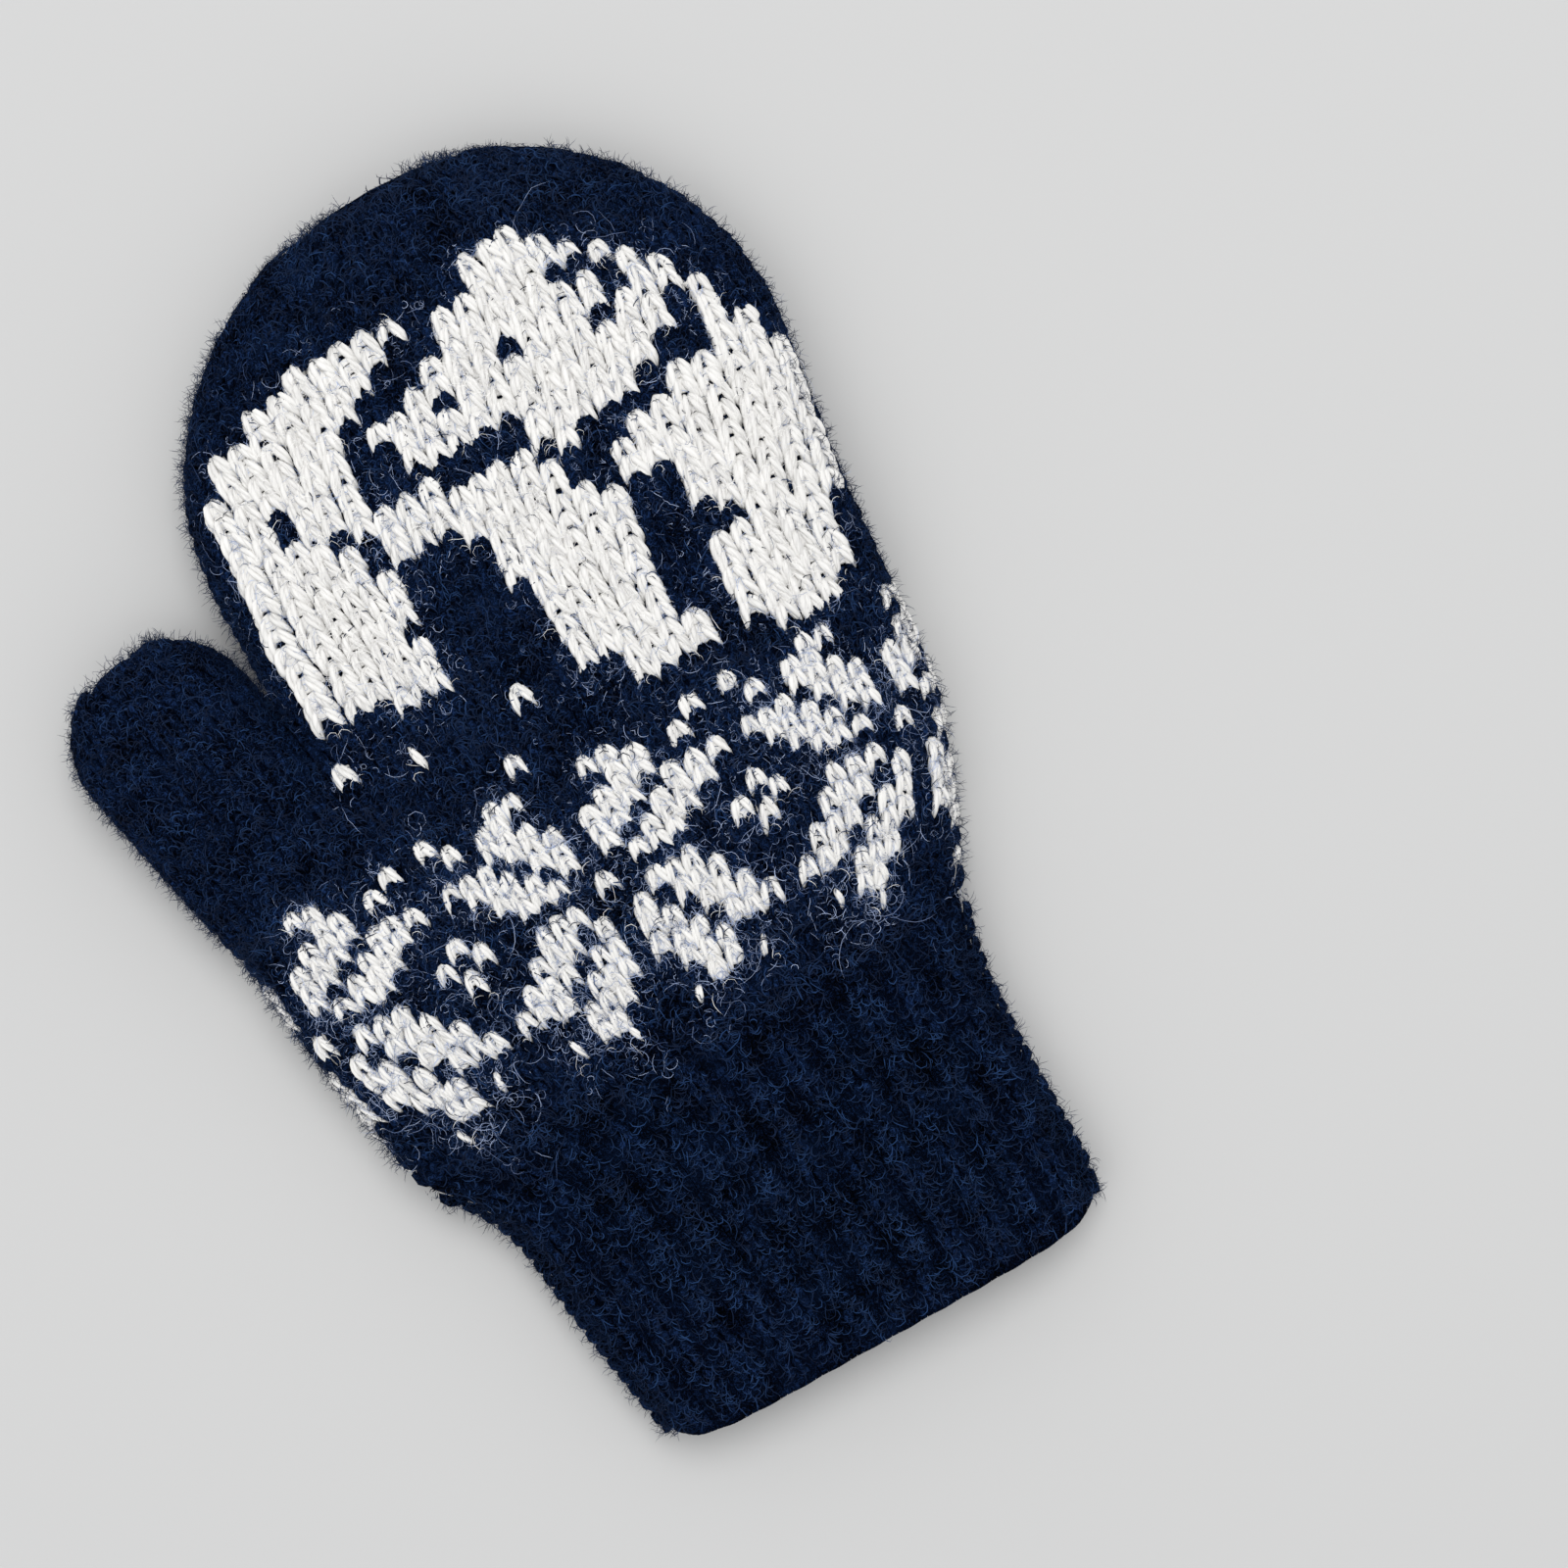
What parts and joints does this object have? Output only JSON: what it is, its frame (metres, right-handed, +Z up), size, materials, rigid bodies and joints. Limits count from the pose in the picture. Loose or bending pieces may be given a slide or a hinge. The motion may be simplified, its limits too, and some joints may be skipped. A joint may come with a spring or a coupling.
{
  "type": "knitted mitten",
  "caption": "Right-hand knitted wool mitten lying flat: round-tipped hand, side thumb and ribbed cuff open at the wrist, with a knit-in figure and a star band.",
  "frame": {"origin": "on the surface that the mitten lies on, on the centre line of the cuff, halfway between the mouth of the cuff and the fingertip", "axes": "+Y from the cuff to the fingertip, +Z up out of the back of the hand, thumb on the -X side"},
  "size_m": [0.165, 0.25, 0.0218],
  "materials": {
    "navy_wool": "brushed, lightly felted wool knit, matt",
    "white_wool": "soft plied wool yarn, matt"
  },
  "bodies": {
    "root": {"hand": "navy_wool", "thumb": "navy_wool", "cuff": "navy_wool"}
  },
  "joints": []
}
